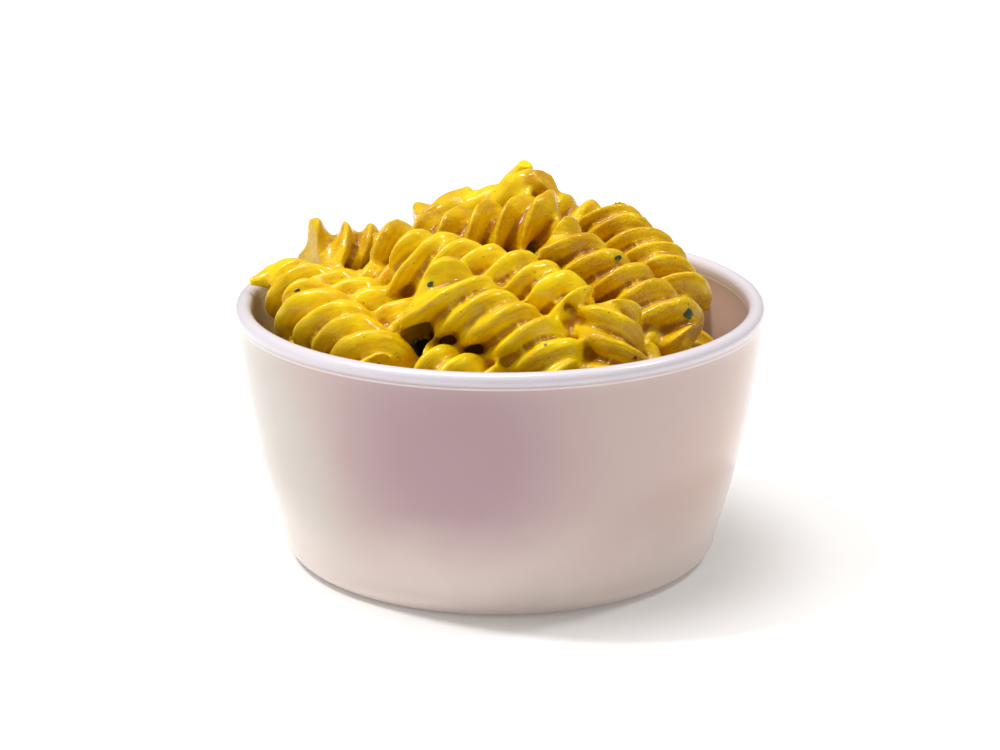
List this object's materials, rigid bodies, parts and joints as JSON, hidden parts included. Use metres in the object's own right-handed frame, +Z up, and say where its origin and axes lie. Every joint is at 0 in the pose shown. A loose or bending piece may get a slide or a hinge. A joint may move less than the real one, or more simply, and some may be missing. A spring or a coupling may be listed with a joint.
{
  "type": "bowl of sauced fusilli",
  "caption": "Deep round glazed ceramic bowl heaped above its rim with twisted fusilli in a creamy golden herb sauce; stands on a flat base.",
  "frame": {"origin": "middle of the bowl's flat base, at the bottom centre of the part's box", "axes": "+Z up along the bowl's axis; -Y is the side the picture looks at, +X is to the right there"},
  "size_m": [0.0998, 0.1, 0.0702],
  "materials": {
    "glazed_ceramic": "glossy reactive glaze, warm cream with soft blush and mauve clouds",
    "sauced_pasta": "boiled wheat pasta, golden yellow and slightly translucent, wet with creamy sauce, a few dark green herb flecks"
  },
  "bodies": {
    "root": {"bowl": "glazed_ceramic", "fusilli_heap": "sauced_pasta"}
  },
  "joints": []
}
